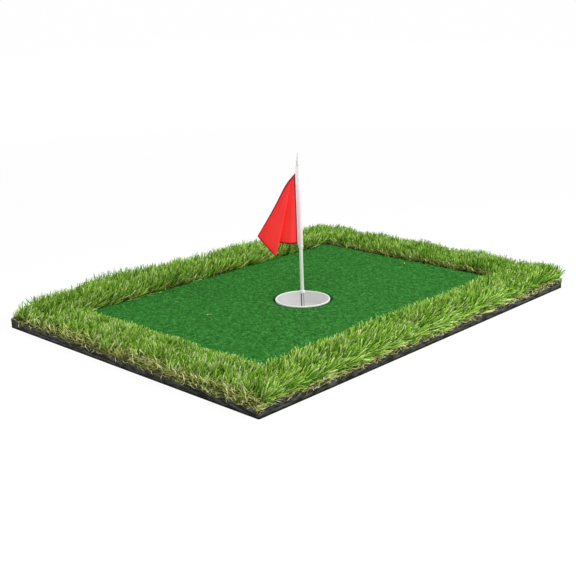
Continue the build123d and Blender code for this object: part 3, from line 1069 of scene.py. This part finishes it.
def hanging_rays():
    """The drape is a cone from the hoist's upper corner: its rays' directions by their flat angle."""
    pleats = np.array(FLAG_PLEATS, dtype=float)
    run = np.r_[0, np.cumsum(np.hypot(*np.diff(pleats, axis=0).T))]
    t = np.linspace(0, run[-1], RAY_COUNT)
    line = np.stack([np.interp(t, run, pleats[:, axis]) for axis in (0, 1)], 1)
    reach = int(RAY_COUNT * PLEAT_ROUNDING) | 1
    weight = np.hanning(reach + 2)[1:-1]
    ends = 2 * line[0] - line[reach:0:-1], 2 * line[-1] - line[-2:-reach - 2:-1]
    padded = np.concatenate([ends[0], line, ends[1]])
    soft = [np.convolve(padded[:, axis], weight / weight.sum(), "same")[reach:-reach] for axis in (0, 1)]
    slope = np.tan(np.radians(soft))
    rays = np.stack([slope[0], slope[1], -np.ones(RAY_COUNT)], 1)
    rays /= np.linalg.norm(rays, axis=1, keepdims=True)
    angle = np.r_[0, np.cumsum(np.linalg.norm(np.diff(rays, axis=0), axis=1))]
    return angle, rays


def flag_cut(u, v, hoist_angle):
    """The flat cut: u from hoist to fly, v from top edge to foot, the hoist's top corner at zero."""
    def polar(reach, turn):
        return np.array([reach * math.cos(turn), reach * math.sin(turn)])

    fly_foot, hoist_foot = polar(FLAG_FOOT_REACH, FLAG_FOOT_TURN), polar(FLAG_HOIST, hoist_angle)
    chord = fly_foot - hoist_foot
    outward = np.array([-chord[1], chord[0]]) / np.hypot(*chord)
    foot = hoist_foot + u[:, None] * chord + outward * (FLAG_FOOT_BOW * 4 * u * (1 - u))[:, None]
    top = u[:, None] * polar(FLAG_TOP_EDGE, 0)
    return (1 - v[:, None]) * top + v[:, None] * foot


def hung_flag(cut, angle, rays):
    """Each point of the cut on the drape: away from the pole, forward and down, from the top corner."""
    reach, turn = np.hypot(*cut.T), np.arctan2(cut[:, 1], cut[:, 0])
    hung = np.stack([np.interp(turn, angle, rays[:, axis]) for axis in range(3)], 1) * reach[:, None]
    near = reach / CORNER_SIZE
    hung[:, 0] += CORNER_STIFFNESS * (near * np.exp(1 - near)) ** 2 * (1 - turn / angle[-1]) ** 0.7
    return hung


def flag_sides(unit):
    """How far each point is, nearly, from the hoist or the fly and from the top edge or the foot."""
    return np.minimum(unit, 1 - unit) * np.array([FLAG_TOP_EDGE, FLAG_MEAN_HEIGHT])


def on_stick(z):
    """The point of the leaning stick's axis at the given height."""
    return stick_foot + stick_up * ((z - stick_foot.z) / stick_up.z)


def flag_piece(material):
    angle, rays = hanging_rays()
    bm = bmesh.new()
    bmesh.ops.create_grid(bm, x_segments=FLAG_STEPS, y_segments=FLAG_STEPS, size=0.5)
    bm.verts.ensure_lookup_table()
    bm.verts.index_update()
    unit = np.array([vert.co.xy[:] for vert in bm.verts]) + 0.5
    cut = flag_cut(unit[:, 0], unit[:, 1], angle[-1])
    out = flag_middle - on_stick(flag_middle.z)
    out = Vector((out.x, out.y, 0)).normalized()
    forward = Vector((-out.y, out.x, 0))
    for vert, (away, front, down) in zip(bm.verts, hung_flag(cut, angle, rays)):
        on_hoist = on_stick(flag_hi.z + float(down))
        vert.co = on_hoist + out * (FLAG_OFFSET + float(away)) + forward * float(front)
    for name, values in {"cut": cut, "hem": flag_sides(unit)}.items():
        layer = bm.loops.layers.uv.new(name)
        for face in bm.faces:
            for loop in face.loops:
                loop[layer].uv = values[loop.vert.index]
    mesh = mesh_of(bm, "flag_cloth")
    mesh.shade_smooth()
    piece = new_piece(mesh, "flag_turn", material)
    wall = piece.modifiers.new("thickness", "SOLIDIFY")
    wall.thickness, wall.offset = FLAG_THICKNESS, 0
    smooth = piece.modifiers.new("smooth", "SUBSURF")
    smooth.levels = smooth.render_levels = 1
    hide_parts("flag")


# ---------------------------------------------------------------- stage, lights, camera

AMBIENT = 0.34
SKY_SHOWN = 0.995
FLOOR_HALF = 8
FLOOR_GLOW = 0.92
FLOOR_FADE = 3.0
# name, place, width and power
LAMPS = (
    ("key", (0.9, -1.95, 1.5), 1.1, 50.0),
    ("fill", (-1.4, -0.5, 2.1), 1.6, 24.0),
    ("top", (0.1, 0.5, 2.4), 2.0, 18.0),
)
CAMERA_AZIMUTH = -46.38
CAMERA_ELEVATION = 16.367
CAMERA_ROLL = -1.2066
CAMERA_DISTANCE = 2.1764
CAMERA_AIM = (0.08267, 0.10722, 0.0)
CAMERA_LENS = 63.76
CAMERA_SENSOR = 36.0
CAMERA_CLIP = (0.05, 50.0)


def linked(name, data):
    thing = bpy.data.objects.new(name, data)
    bpy.context.scene.collection.objects.link(thing)
    return thing


def floor():
    """A white floor that keeps a faint shadow round the mat and is plain white further out."""
    bm = bmesh.new()
    bmesh.ops.create_grid(bm, x_segments=1, y_segments=1, size=FLOOR_HALF)
    mesh = mesh_of(bm, "floor")
    linked("floor", mesh)
    finish = Finish("floor", Base_Color=grey(0.9), Roughness=0.9)
    out = finish.length_of(finish.place()) / FLOOR_FADE
    plain = finish.ramp(out, [(0.25, grey(FLOOR_GLOW)), (1.0, ON)])
    glow = finish.node("ShaderNodeEmission", None, {"Color": ON, "Strength": 1.0})
    lit = Wire(finish, finish.shader.outputs["BSDF"])
    mixed = finish.node("ShaderNodeMixShader", None, [finish.seen_directly() * plain, lit, glow])
    finish.feed(finish.tree.nodes["Material Output"].inputs["Surface"], mixed)
    mesh.materials.append(finish.material)


def sky():
    """Even light all round, at a low level, that the camera sees as white."""
    world = bpy.data.worlds.new("soft_box")
    world.use_nodes = True
    bpy.context.scene.world = world
    wiring = Wiring(world.node_tree)
    back = wiring.tree.nodes["Background"]
    wiring.feed(back.inputs["Color"], ON)
    wiring.feed(back.inputs["Strength"], AMBIENT + wiring.seen_directly() * (SKY_SHOWN - AMBIENT))


def lamps():
    for name, place, size, power in LAMPS:
        light = bpy.data.lights.new(name, "AREA")
        light.shape = "DISK"
        light.size = size
        light.energy = power
        lamp = linked(name, light)
        lamp.location = place
        lamp.rotation_mode = "QUATERNION"
        lamp.rotation_quaternion = Vector(place).to_track_quat("Z", "Y")


def camera():
    azimuth, elevation = math.radians(CAMERA_AZIMUTH), math.radians(CAMERA_ELEVATION)
    level = Vector((math.cos(azimuth), math.sin(azimuth), 0))
    outward = Vector((math.sin(azimuth), -math.cos(azimuth), 0))
    back = outward * math.cos(elevation) + Vector((0, 0, math.sin(elevation)))
    upward = back.cross(level)
    lean = math.radians(CAMERA_ROLL)
    right = level * math.cos(lean) + upward * math.sin(lean)
    up = upward * math.cos(lean) - level * math.sin(lean)
    data = bpy.data.cameras.new("camera")
    data.lens = CAMERA_LENS
    data.sensor_width = CAMERA_SENSOR
    data.clip_start, data.clip_end = CAMERA_CLIP
    holder = linked("camera", data)
    place = Vector(CAMERA_AIM) + back * CAMERA_DISTANCE
    holder.matrix_world = Matrix.Translation(place) @ Matrix((right, up, back)).transposed().to_4x4()
    bpy.context.scene.camera = holder


# ---------------------------------------------------------------- the whole green

def dress_nodes(finishes):
    """The CAD pieces that show as they are get their finish by their material slot."""
    for part in frame["record"]["subparts"]:
        mesh = frame["nodes"][part["node"]].data
        mesh.materials.clear()
        mesh.materials.append(finishes[part["material_slot"]])


camera()
floor()
sky()
lamps()
makers = (
    sheet_rubber, foam_board, turf_backing, putting_yarn, grass_blades, root_yarn,
    cup_plastic, pin_metal, cap_plastic, pole_plastic, flag_cloth,
)
finishes = {maker.__name__: maker() for maker in makers}
dress_nodes(finishes)
border_grass(finishes["grass_blades"])
root_layer(finishes["root_yarn"])
loose_fibres(finishes["root_yarn"])
putting_surface(finishes["putting_yarn"])
flag_piece(finishes["flag_cloth"])

scene = bpy.context.scene
scene.view_settings.view_transform = "Standard"
